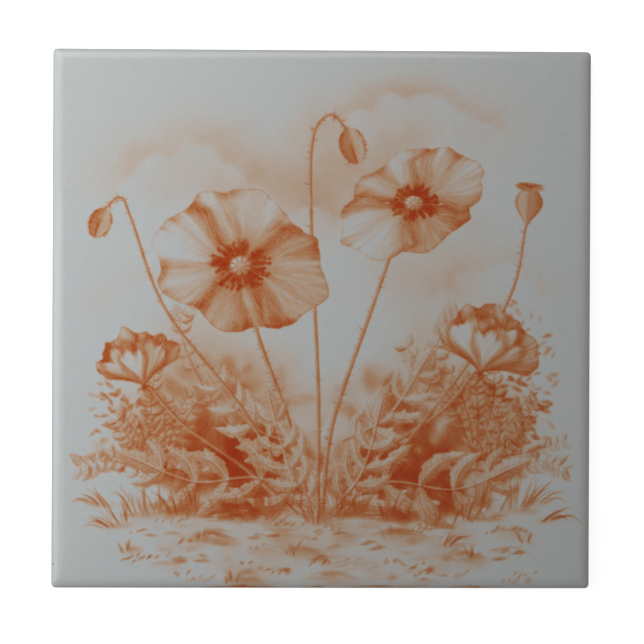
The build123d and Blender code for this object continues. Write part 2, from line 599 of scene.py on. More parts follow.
def stone(paint, place, size, tone, seed):
    """A pebble, pale on top and dark below its right side, with its shadow on the ground."""
    draw = np.random.default_rng(seed)
    flat = draw.uniform(0.45, 0.62)
    turn = draw.uniform(-0.15, 0.15)
    shadow = (place[0] + 0.45 * size, place[1] - 0.42 * size * flat)
    paint.dab(shadow, 1.15 * size, 0.60 * size * flat, turn, 0.8 * tone, soft=0.45, seed=seed)
    at, dx, dy = paint.around(place, 1.5 * size)
    u, v = turned(dx, dy, turn)
    v = v / flat
    angle = np.arctan2(v, u)
    rim = size * (1 + 0.10 * noise(1.3 * np.cos(angle) + 3, 1.3 * np.sin(angle), seed))
    far = np.hypot(u, v) / rim
    lower = even_step(0.55 * u / size - 0.85 * v / size, -0.35, 0.95)
    depth = 0.14 + 0.85 * lower + 0.20 * noise(u / 0.7, v / 0.5, seed + 2)
    cover = even_step((1 - far) * size, -0.22, 0.22)
    paint.lay(at, cover, np.maximum(tone * depth, 0.04), 0.92, u + 9 * seed, v, 0.35)


def foliage(paint, middle, size, count, tone, leaf, seed, paler=0.95):
    """Loose leaves behind the flowers, dabbed wet and by so much paler towards the rim."""
    draw = np.random.default_rng(seed)
    for k in range(count):
        around = draw.uniform(0, 2 * pi)
        far = np.sqrt(draw.uniform(0, 1))
        place = (middle[0] + size[0] * far * cos(around), middle[1] + size[1] * far * sin(around))
        depth = tone * (1.30 - paler * far) * draw.uniform(0.6, 1.3)
        length = leaf * draw.uniform(0.6, 1.3)
        width = length * draw.uniform(0.35, 0.5)
        soft = draw.uniform(0.15, 0.35) * leaf
        paint.dab(place, length, width, around + draw.uniform(-0.9, 0.9), depth, soft=soft, seed=k)


def sprig(paint, points, leaf, tone, seed):
    """A thin twig with small pointed leaves, one after the other."""
    draw = np.random.default_rng(seed)
    line = smooth_line(points, 22)
    paint.stroke(points, (0.28, 0.22, 0.12), (tone, 0.9 * tone, 0.7 * tone), soft=0.22, seed=seed, count=22)
    for k in range(3, len(line), 2):
        for side in (-1, 1):
            aim = heading(line, k) + side * radians(draw.uniform(35, 70))
            length = leaf * draw.uniform(0.7, 1.25)
            bend = away(away(line[k], aim, 0.5 * length), aim + side * pi / 2, 0.12 * length)
            tip = away(line[k], aim, length)
            shade = tone * draw.uniform(0.5, 1.25)
            paint.blade((line[k], bend, tip), 0.26 * length, shade, lift=0.5, shade=0.1,
                        seed=seed + 2 * k + side, count=7)


# The picture

def cloud_bank(paint, middle, puffs, tone, reach, seed):
    """Piled clouds that are left white against the air, which is darkest along their rounded tops."""
    gap = np.full_like(paint.x, 1e9)
    for x, y, radius in puffs:
        puff = np.hypot(paint.x - middle[0] - x, 1.1 * (paint.y - middle[1] - y)) - radius
        gap = np.minimum(gap, puff)
    gap = gap + 1.3 * mottle(paint.x / 6, paint.y / 6, seed)
    above = even_step(paint.y - middle[1] + 0.25 * gap, -7, 5)
    air = even_step(gap, -1.0, 1.4) * np.exp(-np.maximum(gap, 0) / reach) * above
    belly = even_step(-gap, 0.5, 5) * even_step(middle[1] - paint.y, -5, 5) * np.exp(-np.abs(gap + 5) / 4)
    uneven = 0.80 + 0.45 * mottle(paint.x / 7, paint.y / 7, seed + 5)
    paint.tone += 0.9 * tone * (air + 0.30 * belly) * uneven


def paint_sky(paint):
    """Soft washes over the upper half, with the tops of a few clouds left in them."""
    paint.wash((14, 44), (40, 22), 0.34, 11, grain=15, turn=0.3)
    paint.wash((-30, 42), (26, 16), 0.20, 21, grain=12)
    paint.wash((33, 10), (25, 24), 0.24, 31, grain=13)
    paint.wash((-30, -6), (24, 16), 0.16, 36, grain=12)
    # Middle, puffs as offset and radius, tone and reach of the tint above them
    for k, (middle, puffs, tone, reach) in enumerate((
            ((-38, 37), ((-15, -1, 5), (-8, 3, 7), (2, 5, 8), (11, 1, 6), (18, -2, 4)), 0.42, 7.0),
            ((26, 55), ((-14, 0, 5), (-6, 3, 6), (4, 3, 7), (13, -1, 6), (20, -3, 4)), 0.40, 6.0),
            ((49, 7), ((-13, -3, 5), (-6, 2, 6), (2, 4, 6), (9, 0, 4)), 0.32, 4.2),
            ((-6, 22), ((-8, 0, 6), (2, 4, 7), (11, 1, 6)), 0.30, 6.0),
            ((-50, 3), ((-7, 0, 4), (0, 3, 5), (8, 0, 5)), 0.28, 4.0))):
        cloud_bank(paint, middle, puffs, tone, reach, 400 + 10 * k)


def scrub_ground(paint, draw, bank, seed):
    """Level strokes of a half-dry brush: broad soft ones, then narrower ones."""
    # Count, reach, half length, half width, tone and softness
    for count, reach, runs, widths, tones, soft in (
            (34, 46, (4, 12), (1.0, 2.6), (0.12, 0.32), 1.4),
            (46, 54, (1.5, 5), (0.4, 1.0), (0.20, 0.60), 0.6)):
        for k in range(count):
            x, y = draw.uniform(-reach, reach), draw.uniform(-76.5, bank)
            run, width, tone = draw.uniform(*runs), draw.uniform(*widths), draw.uniform(*tones)
            lean = draw.uniform(-0.16, 0.16) * run
            bend = draw.uniform(-0.2, 0.9)
            paint.stroke(((x - run, y - lean), (x, y + bend), (x + run, y + lean)),
                         (0.5 * width, width, 0.3 * width), (0.8 * tone, tone, 0.6 * tone),
                         soft=soft, seed=seed + k, fade=(0.35, 0.45), dry=0.22)


def hatch_ground(paint, draw, bank, seed):
    """Groups of a few short slanted strokes, side by side."""
    for _ in range(38):
        x, y = draw.uniform(-58, 58), draw.uniform(-75, bank - 1)
        turn, tone, pace = draw.uniform(0.25, 0.95), draw.uniform(0.25, 0.80), draw.uniform(1.0, 2.2)
        for line in range(draw.integers(2, 7)):
            foot = (x + pace * line + draw.uniform(-0.6, 0.6), y + draw.uniform(-0.7, 0.7))
            tip = away(foot, turn + draw.uniform(-0.2, 0.2), draw.uniform(1.2, 3.8))
            bent = ((foot[0] + tip[0]) / 2 - 0.1, (foot[1] + tip[1]) / 2 + 0.25)
            paint.stroke((foot, bent, tip), (0.14, 0.32, 0.06), (0.7 * tone, tone, 0.5 * tone), soft=0.25,
                         seed=seed + line, count=5, fade=(0.2, 0.3))


def paint_mounds(paint):
    """Low mounds, dark along their crest, with soft shade below it."""
    # Place, half length and tone
    for x, y, run, tone in ((-31, -62, 9, 0.72), (-6, -66, 7, 0.50), (22, -61, 11, 0.80), (40, -67, 8, 0.70),
                            (3, -73, 10, 0.55), (-44, -70, 7, 0.40), (-22, -74, 8, 0.60), (54, -60, 7, 0.55)):
        crest = ((x - run, y - 1.2), (x - 0.3 * run, y + 0.9), (x + 0.4 * run, y + 0.7), (x + run, y - 1.4))
        paint.stroke(crest, (0.3, 0.8, 0.2), (0.4 * tone, tone, 0.5 * tone), soft=0.6, seed=int(x) + 80,
                     fade=(0.35, 0.3), dry=0.15)
        paint.dab((x + 0.25 * run, y - 1.0), 0.6 * run, 1.3, -0.05, 0.40 * tone, soft=1.0, seed=int(x) + 90)


def paint_pebbles(paint, draw):
    """Pebbles, in loose groups of two to four."""
    groups = ((-52, -60), (-38, -67), (-18, -62), (-12, -72), (11, -64), (31, -72), (34, -58), (52, -66))
    for k, (x, y) in enumerate(groups):
        for each in range(draw.integers(2, 5)):
            place = (x + draw.uniform(-4, 4), y + draw.uniform(-1.6, 1.6))
            stone(paint, place, draw.uniform(0.7, 2.0), draw.uniform(0.7, 1.1), 900 + 10 * k + each)


def paint_lower_rim(paint):
    """Paint that the brush carried down over the lower rim."""
    # Middle, half length and tone
    for x, run, tone in ((-22, 14, 1.1), (-2, 6, 0.5), (17, 15, 0.9), (42, 9, 0.7)):
        paint.stroke(((x - run, -76.2), (x, -75.6), (x + run, -76.3)), (0.3, 0.7, 0.3),
                     (0.6 * tone, tone, 0.4 * tone), soft=0.5, seed=int(x) + 70, fade=(0.2, 0.3), dry=0.1)


def shade_bank(paint, bank):
    """The deep shade where the plants meet the bank."""
    # Place, half length, half width and tone
    for x, y, run, width, tone in ((24, 0.5, 24, 2.8, 1.3), (-24, 0.5, 22, 2.8, 1.3), (2, -1, 14, 1.8, 0.9),
                                   (40, 2.5, 13, 2.2, 0.9), (-42, 1.5, 11, 2.0, 0.8)):
        paint.stroke(((x - run, bank + y), (x, bank + y - 0.8), (x + run, bank + y + 0.8)),
                     (0.4 * width, width, 0.3 * width), (0.6 * tone, tone, 0.4 * tone), soft=1.4,
                     seed=int(x) + 60, fade=(0.3, 0.3), dry=0.05)


def paint_ground(paint, bank, seed):
    """Earth and low mounds below the bank's height, which run off over the lower edge."""
    draw = np.random.default_rng(seed)
    # Haze where the thicket will stand, then the tint of the earth
    paint.wash((-28, -28), (32, 24), 0.52, 41, grain=14)
    paint.wash((30, -30), (31, 24), 0.50, 51, grain=14)
    paint.wash((4, bank - 9), (58, 13), 0.26, 61, edge=0.6, grain=9)
    scrub_ground(paint, draw, bank, seed)
    hatch_ground(paint, draw, bank, seed)
    paint_mounds(paint)
    paint_pebbles(paint, draw)
    paint_lower_rim(paint)
    shade_bank(paint, bank)


def paint_thicket(paint, seed):
    """The shrubs behind the flowers, from the far haze to the sprigs in front of it."""
    foliage(paint, (-27, -32), (27, 20), 100, 0.50, 4.2, seed)
    foliage(paint, (29, -33), (28, 21), 110, 0.48, 4.4, seed + 1)
    foliage(paint, (27, -44), (20, 9), 60, 0.85, 4.6, seed + 2)
    foliage(paint, (-23, -43), (21, 10), 70, 0.95, 4.4, seed + 3)
    foliage(paint, (2, -45), (12, 9), 30, 0.60, 3.0, seed + 4)
    # Small leaves of the bushes at both sides
    foliage(paint, (55, -18), (12, 23), 130, 0.80, 1.25, seed + 5, 0.6)
    foliage(paint, (-56, -26), (9, 17), 80, 0.70, 1.2, seed + 6, 0.6)
    # The way each bush's twigs fan out of its root
    for side, root, reach, deep in ((1, (44, -40), 40, 1.05), (-1, (-44, -42), 32, 0.85)):
        for k in range(9):
            aim = pi / 2 - side * radians(-24 + 13 * k)
            length = reach * (0.75 + 0.25 * sin(2.4 * k + 1)) * (1 - 0.045 * k)
            middle = away(root, aim, 0.55 * length)
            tip = away(middle, aim + side * radians(18 - 6 * (k % 3)), 0.45 * length)
            tone = deep * (0.8 + 0.1 * (k % 4))
            sprig(paint, (root, middle, tip), 3.6 - 0.4 * (k % 3), tone, seed + 20 + 40 * k)
    for k, points in enumerate((
            ((24, -30), (31, -18), (33, -6), (38, 2)), ((-26, -30), (-36, -14), (-40, -2), (-37, 6)),
            ((36, -42), (52, -43), (62, -40), (69, -42)), ((-34, -42), (-48, -43), (-60, -40), (-68, -42)))):
        sprig(paint, points, 4.4 - 0.3 * (k % 3), 0.70, seed + 420 + 40 * k)


def paint_poppies(paint, bank):
    """The poppies that fill the middle of the face, with their leaves, on stalks out of one root."""
    root = bank - 1
    # Two leaves behind the stalks, and four in front of them
    lobed_leaf(paint, ((-6, -36), (-20, -30), (-33, -14)), 10.5, 0.62, 5, 340)
    lobed_leaf(paint, ((6, -34), (19, -27), (30, -10)), 10.5, 0.68, 5, 360)

    stem(paint, ((-3, root), (-9, -30), (-17, -8), (-22, 9)), 0.70, 1)
    stem(paint, ((0, root), (3, -30), (13, 0), (22, 26)), 0.66, 3)
    stem(paint, ((4, root), (17, -38), (34, -26), (44, -14)), 0.62, 5)
    stem(paint, ((-7, root), (-22, -42), (-39, -30), (-49, -19)), 0.58, 7)
    stem(paint, ((-1, root), (-1, -20), (-3, 22), (-3, 50), (2, 58), (7, 54)), 0.54, 9)
    stem(paint, ((-5, root), (-22, -26), (-44, 2), (-54, 28), (-57, 34), (-61, 31)), 0.50, 11)
    stem(paint, ((6, root), (28, -30), (52, 4), (58, 28)), 0.52, 13)

    lobed_leaf(paint, ((-4, -53), (-18, -45), (-36, -46), (-54, -39)), 14.5, 0.85, 5, 300)
    lobed_leaf(paint, ((5, -53), (19, -46), (38, -48), (56, -41)), 14.5, 0.95, 5, 320)
    lobed_leaf(paint, ((-2, -53), (-9, -42), (-15, -22)), 10.5, 0.80, 5, 380)
    lobed_leaf(paint, ((4, -53), (12, -42), (17, -23)), 10.5, 0.88, 5, 400)

    open_poppy(paint, (-23, 15), 25, -18, 0.82, 500)
    open_poppy(paint, (26, 33), 21.5, 24, 0.68, 600)
    cup_poppy(paint, (45, -15), 18.5, -16, 1.0, 700)
    cup_poppy(paint, (-50, -19), 16, 18, 0.85, 800)
    bud(paint, (7.2, 54), 10.5, -74, 900)
    bud(paint, (-61, 31), 9.0, -112, 910)
    seed_pod(paint, (58, 28), 9.5, 84, 920)


def paint_grass(paint, bank, seed):
    """Tufts of grass along the bank and out past its ends, and a few paler ones on the mounds."""
    draw = np.random.default_rng(seed)
    for k in range(26):
        x = -57 + 4.6 * k + draw.uniform(-2.5, 2.5)
        tall = draw.uniform(4, 9) + 0.08 * abs(x)
        foot = (x, bank + draw.uniform(-4.5, 1.5))
        tuft(paint, foot, 9, tall, draw.uniform(0.5, 1.0), seed + 20 * k, 0.006 * x)
    on_mounds = ((-34, -62.5), (19, -61.5), (43, -67.5), (-8, -66.5), (-25, -74), (58, -63), (-55, -66))
    for k, foot in enumerate(on_mounds):
        tuft(paint, foot, 8, 4.5, 0.65, seed + 600 + 20 * k)
    leaning = ((60, -52, 0.8), (63, -57, 1.0), (-62, -53, -0.8), (-59, -59, -1.0), (36, -64, 0.7))
    for k, (x, y, lean) in enumerate(leaning):
        tuft(paint, (x, y), 9, 11 - k, 0.85, seed + 800 + 20 * k, lean)


def paint_face(paint):
    """The whole picture, from the farthest thing to the nearest."""
    # Height on the face at which the ground meets the plants, and the deepest tone that the firing leaves
    bank = -54
    deepest = 2.7
    paint_sky(paint)
    paint_ground(paint, bank, 70)
    paint_thicket(paint, 5)
    paint_poppies(paint, bank)
    paint_grass(paint, bank, 200)
    # Thin washes fire paler than they were laid, and heavy strokes a little deeper
    fired = 1.16 * paint.tone ** 2 / (paint.tone + 0.24)
    paint.tone = deepest * np.tanh(fired / deepest)


# The tile's shape

# Cells along each side of the face's grid, and how many of them roll down the cushion at each rim
GRID_CELLS = 512
ROLL_CELLS = 14
MOST_FACE_TRIANGLES = 150000
# Shares of the bake map: the side of the square that holds the face, and the gap round each part
FACE_MAP_SIDE = 0.72
MAP_GAP = 0.006
FACE_MAP_WIDTH = FACE_MAP_SIDE - 2 * MAP_GAP
# The mesh's material slots
GLAZED, BARE = 0, 1


def outline_place(u, v, half, radius):
    """Places on a square with rounded corners, and the way straight out from there.

    u and v run from -1 to 1. The larger of them picks the side, and their ratio the place on it.
    """
    a, b = np.abs(u), np.abs(v)
    along = np.minimum(a, b) / np.maximum(np.maximum(a, b), 1e-9) * half
    radius = np.maximum(radius, 1e-9)
    turn = np.clip((along - half + radius) / radius, 0, 1) * pi / 4
    far = half - radius * (1 - np.cos(turn))
    near = np.where(turn > 0, half - radius * (1 - np.sin(turn)), along)
    x_leads = a >= b
    x = np.sign(u) * np.where(x_leads, far, near)
    y = np.sign(v) * np.where(x_leads, near, far)
    out_x = np.sign(u) * np.where(x_leads, np.cos(turn), np.sin(turn))
    out_y = np.sign(v) * np.where(x_leads, np.sin(turn), np.cos(turn))
    return x, y, out_x, out_y


class FaceGrid:
    """An even grid laid over the glazed face and rolled down its cushion, with exact normals."""

    wave_length = 17 * MM

    def __init__(self, sizes):
        line = np.linspace(-1, 1, GRID_CELLS + 1)
        self.u, self.v = np.meshgrid(line, line)
        level = np.maximum(np.abs(self.u), np.abs(self.v))
        flat_level = 1 - 2 * ROLL_CELLS / GRID_CELLS
        flat_half = sizes.side / 2 - sizes.cushion_width
        # The picture's own sizes are true on the flat, and run on over the roll
        self.reach = flat_half / flat_level
        roll = np.clip((level - flat_level) / (1 - flat_level), 0, 1) * pi / 2
        half = flat_half * np.minimum(level / flat_level, 1) + sizes.cushion_width * np.sin(roll)
        # The grid has square corners on the flat, which round off as they near the roll
        radius = sizes.corner_radius * even_step(half, flat_half - 4 * MM, flat_half)
        x, y, out_x, out_y = outline_place(self.u, self.v, half, radius)
        # The waves die away as they near the roll
        fade = 1 - even_step(half, flat_half - 6 * MM, flat_half)

        def wave(dx, dy):
            """The glaze's slow waves, a little aside from each point."""
            across, up = (x + dx) / self.wave_length, (y + dy) / self.wave_length
            return sizes.waviness / 2 * mottle(across, up, 5, octaves=2)

        aside = 0.2 * MM
        slope_x = fade * (wave(aside, 0) - wave(-aside, 0)) / (2 * aside)
        slope_y = fade * (wave(0, aside) - wave(0, -aside)) / (2 * aside)
        drop = sizes.cushion_depth * (1 - np.cos(roll)) + fade * (sizes.waviness / 2 - wave(0, 0))
        self.places = np.stack([x, y, sizes.thickness - drop], -1)
        # At a corner the roll moves in along both sides at once, which spreads its slope
        lean = sizes.cushion_depth * np.sin(roll) / (np.abs(out_x) + np.abs(out_y)).clip(1)
        rise = sizes.cushion_width * np.cos(roll)
        normals = np.stack([lean * out_x - rise * slope_x, lean * out_y - rise * slope_y, rise], -1)
        self.normals = normals / np.linalg.norm(normals, axis=-1, keepdims=True)


def split_errors(fields):
    """How far a flat triangle would miss the fields at each grid point, or at a finer point that it covers.

    Each triangle is half a square and splits at the middle of its longest side, so every grid point
    is the middle of one such side.
    """
    cells = fields.shape[0] - 1
    error = np.zeros(fields.shape[:2])

    def settle(rows, columns, ends, finer):
        """Sets the error at some points from the ends of their sides and from the finer points they cover."""
        own = 0
        for down, right in ends:
            before, after = fields[rows - down, columns - right], fields[rows + down, columns + right]
            own = np.maximum(own, np.abs((before + after) / 2 - fields[rows, columns]).max(-1))
        for down, right in finer:
            r, c = rows + down, columns + right
            inside = (r >= 0) & (r <= cells) & (c >= 0) & (c <= cells)
            own = np.maximum(own, np.where(inside, error[r.clip(0, cells), c.clip(0, cells)], 0))
        error[rows, columns] = own

    step = 1
    while step < cells:
        whole = np.arange(0, cells + 1, 2 * step)
        odd = np.arange(step, cells, 2 * step)
        half = step // 2
        corners = [(down, right) for down in (-half, half) for right in (-half, half)] if half else []
        settle(*np.meshgrid(whole, odd, indexing="ij"), [(0, step)], corners)
        settle(*np.meshgrid(odd, whole, indexing="ij"), [(step, 0)], corners)
        sides = [(-step, 0), (step, 0), (0, -step), (0, step)]
        settle(*np.meshgrid(odd, odd, indexing="ij"), [(step, step), (step, -step)], sides)
        step *= 2
    return error


def split_triangles(error, tolerance):
    """Triangles over the grid, split until none misses it by more than the tolerance."""
    cells = error.shape[0] - 1
    low, high = [0, 0], [cells, cells]
    waiting = np.array([[low, high, [cells, 0]], [high, low, [0, cells]]])
    done = []
    while len(waiting):
        a, b, c = waiting[:, 0], waiting[:, 1], waiting[:, 2]
        middle = (a + b) // 2
        split = (error[middle[:, 0], middle[:, 1]] > tolerance) & (np.abs(a - b).max(1) > 1)
        done.append(waiting[~split])
        a, b, c, middle = a[split], b[split], c[split], middle[split]
        waiting = np.concatenate([np.stack([c, a, middle], 1), np.stack([b, c, middle], 1)])
    triangles = np.concatenate(done)
    return triangles[..., 0] * (cells + 1) + triangles[..., 1]


class TileMesh:
    """Collects points with their normals, and faces with their places on the bake map."""

    def __init__(self, width):
        self.width = width
        self.points = []
        self.normals = []
        self.faces = []
        self.map_places = []
        self.slots = []

    def add_points(self, points, normals):
        """Adds a ring or a field of points, and returns their numbers."""
        first = len(self.points)
        self.points.extend(points.tolist())
        self.normals.extend(normals.tolist())
        return list(range(first, len(self.points)))

    def add_faces(self, faces, map_places, slot):
        """Map places are given for each corner of each face in turn."""
        self.faces.extend(faces)
        self.map_places.extend(map_places)
        self.slots.extend([slot] * len(faces))

    def add_back_faces(self, faces):
        """Adds faces of the back, which lies beside the face on the bake map."""
        low = FACE_MAP_SIDE + MAP_GAP
        map_width = 1 - MAP_GAP - low
        map_places = []
        for face in faces:
            for k in face:
                share_x, share_y = (self.points[k][axis] / self.width + 0.5 for axis in (0, 1))
                map_places.append((low + map_width * share_x, MAP_GAP + map_width * share_y))
        self.add_faces(faces, map_places, BARE)


def add_glazed_face(mesh, grid, paint):
    """The face with its cushion, in triangles that are small where the form or the picture needs it."""
    # A millimetre off the form counts for as much as this much ink, of 1 at its darkest
    ink_per_millimetre = 1.5
    ink = 1 - np.exp(-paint.tone)
    fields = np.concatenate([grid.places / MM * ink_per_millimetre, ink[..., None]], -1)
    error = split_errors(fields)
    # Start fine, and coarsen until the triangles are few enough
    tolerance = 0.008
    triangles = split_triangles(error, tolerance)
    while len(triangles) > MOST_FACE_TRIANGLES:
        tolerance *= 1.08
        triangles = split_triangles(error, tolerance)
    used, corners = np.unique(triangles, return_inverse=True)
    corners = corners.reshape(-1, 3)
    mesh.add_points(grid.places.reshape(-1, 3)[used], grid.normals.reshape(-1, 3)[used])
    # Turn every triangle so that it looks out of the tile
    flat = np.stack([grid.u.ravel()[used], grid.v.ravel()[used]], -1)
    ab, ac = flat[corners[:, 1]] - flat[corners[:, 0]], flat[corners[:, 2]] - flat[corners[:, 0]]
    looks_down = ab[:, 0] * ac[:, 1] < ab[:, 1] * ac[:, 0]
    corners[looks_down] = corners[looks_down][:, ::-1]
    map_places = MAP_GAP + FACE_MAP_WIDTH * (flat[corners.ravel()] + 1) / 2
    mesh.add_faces(corners.tolist(), map_places.tolist(), GLAZED)
    return used


def rim_points(used):
    """The grid's outermost points that the face uses, anticlockwise seen from above.

    Each comes as its number in the mesh and its number in the grid.
    """
    forth = np.arange(GRID_CELLS)
    back = GRID_CELLS - forth
    low, high = np.zeros_like(forth), np.full_like(forth, GRID_CELLS)
    rows = np.concatenate([low, forth, high, back])
    columns = np.concatenate([forth, high, back, low])
    walk = rows * (GRID_CELLS + 1) + columns
    walk = walk[np.isin(walk, used)]
    return np.searchsorted(used, walk).tolist(), walk


def band(upper, lower):
    """Faces between one closed ring of points and the next one down."""
    count = len(upper)
    return [[upper[i], lower[i], lower[(i + 1) % count], upper[(i + 1) % count]] for i in range(count)]


def side_strips(u, v, sizes):
    """The four sides on the bake map, where they lie one above the other above the face.

    For each stretch of the rim from one point to the next, these are where it starts and ends
    along its strip, and the height of its strip.
    """
    strip_pitch = FACE_MAP_WIDTH / sizes.side * (sizes.thickness + 1 * MM)
    next_u, next_v = np.roll(u, -1), np.roll(v, -1)
    side = np.round(np.arctan2(v + next_v, u + next_u) / (pi / 2)).astype(int) % 4
    turns = [side == 0, side == 1, side == 2]
    here = np.select(turns, [v, -u, -v], u)
    ahead = np.select(turns, [next_v, -next_u, -next_v], next_u)
    starts, ends = ((run + 1) / 2 * FACE_MAP_WIDTH + MAP_GAP for run in (here, ahead))
    return starts, ends, FACE_MAP_SIDE + MAP_GAP + side * strip_pitch


def add_sides(mesh, sizes, grid, used):
    """The upright land, the sides below it and the worn edge round the back. Returns the last ring."""
    ring, walk = rim_points(used)
    u, v = grid.u.ravel()[walk], grid.v.ravel()[walk]
    land_top = sizes.thickness - sizes.cushion_depth
    land_foot = land_top - sizes.land_height
    lean = atan2(sizes.back_inset, land_foot)
    edge = sizes.back_edge_radius
    edge_inset = sizes.back_inset + edge * (1 - sin(lean)) / cos(lean)
    soft = 0.15 * MM
    # Each level: how far it stands in from the land, its height, and how far its normal dips
    levels = [(0.0, land_foot + soft, 0.0), (soft * tan(lean), land_foot - soft, lean)]
    for dip in np.linspace(lean, pi / 2, 5):
        levels.append((edge_inset - edge * cos(dip), edge * (1 - sin(dip)), dip))

    map_scale = FACE_MAP_WIDTH / sizes.side
    strips = list(zip(*side_strips(u, v, sizes)))
    depth, inset, height = 0.0, 0.0, land_top
    for k, (next_inset, next_height, dip) in enumerate(levels):
        radius = sizes.corner_radius - next_inset
        x, y, out_x, out_y = outline_place(u, v, sizes.side / 2 - next_inset, radius)
        points = np.stack([x, y, np.full_like(x, next_height)], -1)
        normals = np.stack([out_x * cos(dip), out_y * cos(dip), np.full_like(x, -sin(dip))], -1)
        next_ring = mesh.add_points(points, normals)
        next_depth = depth + hypot(next_inset - inset, next_height - height)
        map_places = []
        for start, end, strip in strips:
            upper, lower = strip + depth * map_scale, strip + next_depth * map_scale
            map_places += [(start, upper), (start, lower), (end, lower), (end, upper)]
        # Glaze covers the land, and the sides below it are bare
        mesh.add_faces(band(ring, next_ring), map_places, GLAZED if k == 0 else BARE)
        ring, depth, inset, height = next_ring, next_depth, next_inset, next_height
    return ring


def add_key_cell(mesh, sizes, middle):
    """One cell of the key grid, with a worn mouth, drafted walls and a soft foot. Returns its mouth."""
    depth = sizes.key_depth
    slant = tan(sizes.key_draft)
    wall = pi / 2 - sizes.key_draft
    worn = 0.2 * MM
    # Each level: how far it stands out from the cell's mouth, its depth, and how far its normal leans in
    levels = (
        (worn, 0.0, 0.0), (0.3 * worn, 0.25 * worn, 0.5 * wall), (-worn * slant, worn, wall),
        (-(depth - worn) * slant, depth - worn, wall), (-depth * slant - 0.10 * MM, 0.96 * depth, 0.4 * wall),
        (-depth * slant - 0.35 * MM, depth, 0.0),
    )
    # Places round a square, three on each straight side and more at the corners
    line = np.concatenate([[-1, -0.97, -0.93, -0.88], np.linspace(-0.6, 0.6, 3), [0.88, 0.93, 0.97]])
    one = np.ones_like(line)
    u = np.concatenate([line, one, -line, -one])
    v = np.concatenate([-one, line, one, -line])
    rings = []
    for out, height, lean in levels:
        x, y, out_x, out_y = outline_place(u, v, sizes.key_cell / 2 + out, sizes.key_corner_radius + out)
        points = np.stack([x + middle[0], y + middle[1], np.full_like(x, height)], -1)
        normals = np.stack([-out_x * sin(lean), -out_y * sin(lean), np.full_like(x, -cos(lean))], -1)
        rings.append(mesh.add_points(points, normals))
    faces = []
    for upper, lower in zip(rings, rings[1:]):
        faces += band(upper, lower)
    # The floor, as a fan round its middle
    centre = mesh.add_points(np.array([[*middle, depth]]), np.array([[0.0, 0.0, -1.0]]))[0]
    floor = rings[-1]
    faces += [[floor[i], centre, floor[(i + 1) % len(floor)]] for i in range(len(floor))]
    mesh.add_back_faces(faces)
    return rings[0]


def add_back(mesh, sizes, edge_ring):
    """The bedding plane of ribs and border, with the pressed cells in it."""
    pitch = sizes.key_cell + sizes.key_rib
    spread = (np.arange(sizes.key_count) - (sizes.key_count - 1) / 2) * pitch
    mouths = [add_key_cell(mesh, sizes, (x, y)) for x in spread for y in spread]
    points, loop_of, edges = [], [], []
    for number, loop in enumerate([edge_ring] + mouths):
        first = len(points)
        edges += [(first + k, first + (k + 1) % len(loop)) for k in range(len(loop))]
        points += loop
        loop_of += [number] * len(loop)
    flat = [Vector(mesh.points[k][:2]) / MM for k in points]
    inside_outline, nearness = 1, 1e-5
    _, _, triangles, came_from, _, _ = delaunay_2d_cdt(flat, edges, [], inside_outline, nearness)
    faces = []
    for triangle in triangles:
        corners = [came_from[k][0] for k in reversed(triangle)]
        loops = {loop_of[k] for k in corners}
        # A triangle that touches one mouth only lies in its cell, which has a floor of its own
        if len(loops) > 1 or loops == {0}:
            faces.append([points[k] for k in corners])
    mesh.add_back_faces(faces)


def spread_over_points(data, name, kind, field, values):
    """Writes one value for each point of the mesh. Points past the end of the values get zeros."""
    attribute = data.attributes.new(name, kind, "POINT")
    width = values.shape[1] if values.ndim > 1 else 1
    filled = np.zeros(len(data.vertices) * width, np.float32)
    filled[:values.size] = values.ravel()
    attribute.data.foreach_set(field, filled)


def tile_object(name, sizes):
    """The whole tile as one closed mesh that carries its picture."""
    grid = FaceGrid(sizes)
    paint = Painting(grid.u * grid.reach / MM, grid.v * grid.reach / MM)
    paint_face(paint)
    mesh = TileMesh(sizes.side)
    used = add_glazed_face(mesh, grid, paint)
    edge_ring = add_sides(mesh, sizes, grid, used)
    add_back(mesh, sizes, edge_ring)

    data = bpy.data.meshes.new(name)
    data.from_pydata(mesh.points, [], mesh.faces)
    data.polygons.foreach_set("material_index", mesh.slots)
    data.polygons.foreach_set("use_smooth", [True] * len(mesh.faces))
    bake_map = data.uv_layers.new(name="OFBake")
    bake_map.data.foreach_set("uv", np.ravel(mesh.map_places))
    brush = np.stack([paint.along, paint.across, paint.streak], -1).reshape(-1, 3)[used]
    spread_over_points(data, "tone", "FLOAT", "value", paint.tone.ravel()[used])
    spread_over_points(data, "brush", "FLOAT_VECTOR", "vector", brush)
    data.update()
    data.normals_split_custom_set_from_vertices(mesh.normals)
    tile = bpy.data.objects.new(name, data)
    bpy.context.scene.collection.objects.link(tile)
    return tile


# Materials

